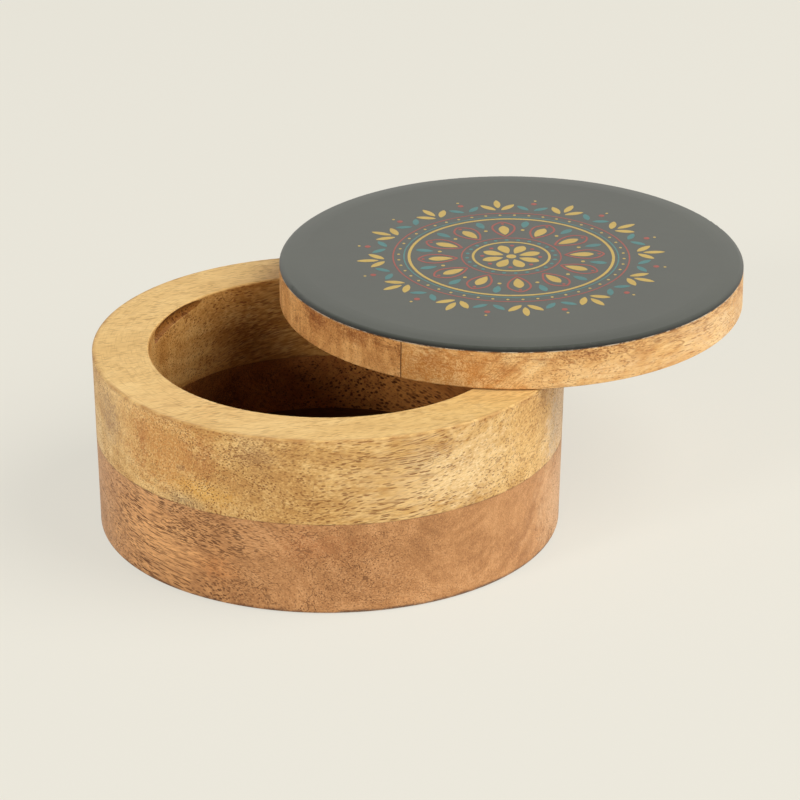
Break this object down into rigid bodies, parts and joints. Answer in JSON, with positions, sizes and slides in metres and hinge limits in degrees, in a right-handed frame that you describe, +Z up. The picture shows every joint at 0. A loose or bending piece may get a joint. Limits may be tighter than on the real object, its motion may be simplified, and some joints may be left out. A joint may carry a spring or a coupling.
{
  "type": "round wooden box with swivel lid",
  "caption": "Round turned wooden box of two glued rings with a let-in floor and a flat enamelled wooden lid that swings aside on an upright pivot in the back wall.",
  "frame": {"origin": "centre of the base on the axis of the hollow, at the level of the surface that the box stands on", "axes": "+Z up along the axis of the hollow, +Y to the back, where the pivot is, +X to the right"},
  "size_m": [0.1785, 0.1593, 0.0629],
  "materials": {
    "lower_wood": "oiled reddish brown hardwood",
    "upper_wood": "oiled golden hardwood",
    "floor_wood": "oiled reddish brown hardwood",
    "lid_front_wood": "oiled orange tan hardwood",
    "lid_back_wood": "oiled orange tan hardwood",
    "ground_coat": "matt pale ground coat",
    "dark_enamel": "satin charcoal poured enamel with a printed ornament",
    "sleeve_brass": "turned",
    "screw_steel": "zinc plated"
  },
  "bodies": {
    "box": {"lower_ring": "lower_wood", "upper_ring": "upper_wood", "floor_disc": "floor_wood", "pivot_sleeve": "sleeve_brass", "screw_washer": "screw_steel"},
    "lid": {"lid_front_board": "lid_front_wood", "lid_back_board": "lid_back_wood", "enamel_ground": "ground_coat", "enamel_top": "dark_enamel", "lid_insert": "sleeve_brass", "pivot_screw": "screw_steel"}
  },
  "joints": [
    {"name": "lid_swivel", "type": "hinge", "parent": "box", "child": "lid", "pos_m": [0, 0.05635, 0.0504], "axis": [0, 0, 1], "range_deg": [-63.6, 116.4]}
  ]
}
